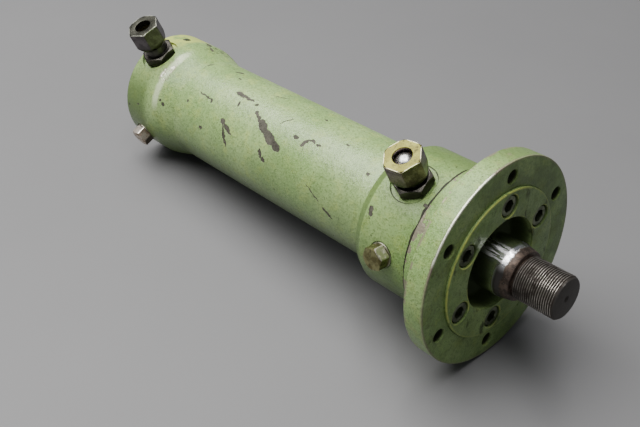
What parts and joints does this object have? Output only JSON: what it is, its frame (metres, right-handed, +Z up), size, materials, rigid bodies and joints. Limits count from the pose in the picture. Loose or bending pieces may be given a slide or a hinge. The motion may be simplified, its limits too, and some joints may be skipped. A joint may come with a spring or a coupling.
{
  "type": "hydraulic cylinder",
  "caption": "Round-flange double-acting hydraulic cylinder with threaded rod end, two cone tube fittings and two bleed screws.",
  "frame": {"origin": "centre of the mounting flange's front face, on the cylinder's axis", "axes": "+X along the axis towards the rod end, +Z up; the ports lean 25 degrees from +Z towards -Y"},
  "size_m": [0.52, 0.185, 0.1895],
  "materials": {
    "green_paint": "reseda green enamel, satin, chipped and worn at the edges",
    "chrome": "hard chrome, polished, rusty at the shoulder and thread",
    "machined_steel": "turned bright steel",
    "black_steel": "black oxide, oily",
    "zinc_steel": "yellow passivated zinc, worn",
    "cast_iron": "turned grey iron",
    "bronze": "turned bronze",
    "black_rubber": "matt black nitrile rubber",
    "seal_plastic": "blue polyurethane",
    "wear_ring_plastic": "bronze-filled PTFE",
    "backup_plastic": "white PTFE"
  },
  "bodies": {
    "cylinder": {"barrel_tube": "green_paint", "rear_cap": "green_paint", "rear_cap_o_ring": "black_rubber", "rear_cap_backup_ring": "backup_plastic", "rear_grub_screw": "black_steel", "front_head": "green_paint", "front_head_o_ring": "black_rubber", "front_head_backup_ring": "backup_plastic", "mounting_flange": "green_paint", "gland_cover": "green_paint", "cover_screw_1": "black_steel", "cover_screw_2": "black_steel", "cover_screw_3": "black_steel", "cover_screw_4": "black_steel", "cover_screw_5": "black_steel", "cover_screw_6": "black_steel", "rod_guide_bush": "bronze", "rod_guide_o_ring": "black_rubber", "rod_guide_backup_ring": "backup_plastic", "rod_seal": "seal_plastic", "wiper_ring": "black_rubber", "front_port_seal": "black_steel", "front_fitting_body": "black_steel", "rear_port_seal": "black_steel", "rear_fitting_body": "black_steel", "front_bleed_washer": "zinc_steel", "rear_bleed_washer": "zinc_steel"},
    "piston_rings": {"piston_seal": "seal_plastic", "piston_energiser_ring": "black_rubber", "piston_wear_ring_front": "wear_ring_plastic", "piston_wear_ring_rear": "wear_ring_plastic"},
    "rod": {"piston_rod": "chrome", "piston": "cast_iron", "piston_o_ring": "black_rubber", "piston_nut": "machined_steel"},
    "front_cone": {"front_cutting_ring": "zinc_steel", "front_blanking_plug": "machined_steel"},
    "front_nut": {"front_union_nut": "zinc_steel"},
    "rear_cone": {"rear_cutting_ring": "zinc_steel"},
    "rear_nut": {"rear_union_nut": "black_steel"},
    "front_bleed": {"front_bleed_screw": "zinc_steel"},
    "rear_bleed": {"rear_bleed_screw": "zinc_steel"}
  },
  "joints": [
    {"name": "rod_slide", "type": "slide", "parent": "cylinder", "child": "piston_rings", "axis": [1, 0, 0], "range_m": [0, 0.288]},
    {"name": "rod_spin", "type": "hinge", "parent": "piston_rings", "child": "rod", "pos_m": [0, 0, 0], "axis": [1, 0, 0], "continuous": true},
    {"name": "front_nut_travel", "type": "slide", "parent": "cylinder", "child": "front_cone", "axis": [0, -0.4226, 0.9063], "range_m": [0, 0.0046]},
    {"name": "front_nut_turn", "type": "hinge", "parent": "front_cone", "child": "front_nut", "pos_m": [-0.0695, 0, 0], "axis": [0, -0.4226, 0.9063], "range_deg": [0, 1080]},
    {"name": "rear_nut_travel", "type": "slide", "parent": "cylinder", "child": "rear_cone", "axis": [0, -0.3907, 0.9205], "range_m": [0, 0.0046]},
    {"name": "rear_nut_turn", "type": "hinge", "parent": "rear_cone", "child": "rear_nut", "pos_m": [-0.4325, 0, 0], "axis": [0, -0.3907, 0.9205], "range_deg": [0, 1080]},
    {"name": "front_bleed_turn", "type": "hinge", "parent": "cylinder", "child": "front_bleed", "pos_m": [-0.0695, 0, 0], "axis": [0, -0.9962, 0.0872], "range_deg": [0, 360]},
    {"name": "rear_bleed_turn", "type": "hinge", "parent": "cylinder", "child": "rear_bleed", "pos_m": [-0.4325, 0, 0], "axis": [0, -0.8988, -0.4384], "range_deg": [0, 360]}
  ],
  "couplings": [
    {"joint": "front_nut_travel", "follows": "front_nut_turn", "m_per_rad": 0.00023873},
    {"joint": "rear_nut_travel", "follows": "rear_nut_turn", "m_per_rad": 0.00023873}
  ]
}
